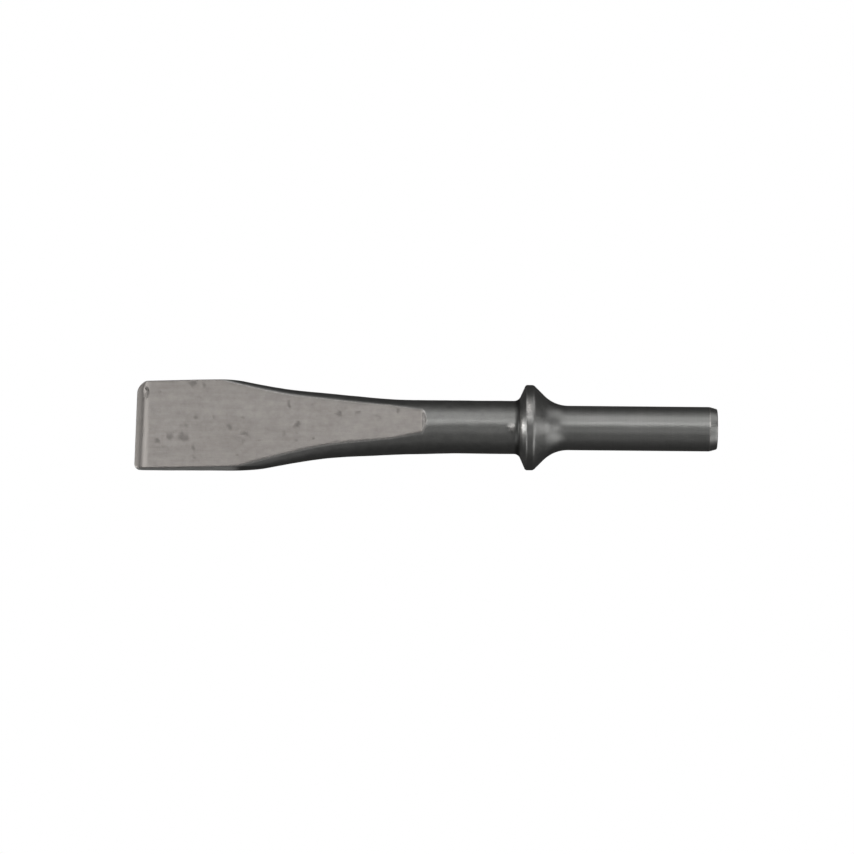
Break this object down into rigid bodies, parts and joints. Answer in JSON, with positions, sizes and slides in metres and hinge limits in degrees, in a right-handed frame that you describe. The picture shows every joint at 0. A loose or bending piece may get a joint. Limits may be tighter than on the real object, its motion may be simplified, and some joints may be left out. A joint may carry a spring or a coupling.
{
  "type": "flat chisel bit",
  "caption": "Forged flat cold-chisel bit: flared blade with a double-bevelled cutting edge, round body, coned retaining collar and plain round shank.",
  "frame": {"origin": "centre of the flat striking face at the end of the shank", "axes": "X is the tool axis: the striking face's normal is +X and the blade points along -X; the blade's width runs along Y and its two flats face +Z and -Z"},
  "size_m": [0.1334, 0.0208, 0.0196],
  "materials": {
    "forged_steel": "dark satin forged and tempered alloy steel, with a slightly lighter and warmer grey on the flats"
  },
  "bodies": {
    "root": {"chisel_bit": "forged_steel"}
  },
  "joints": []
}
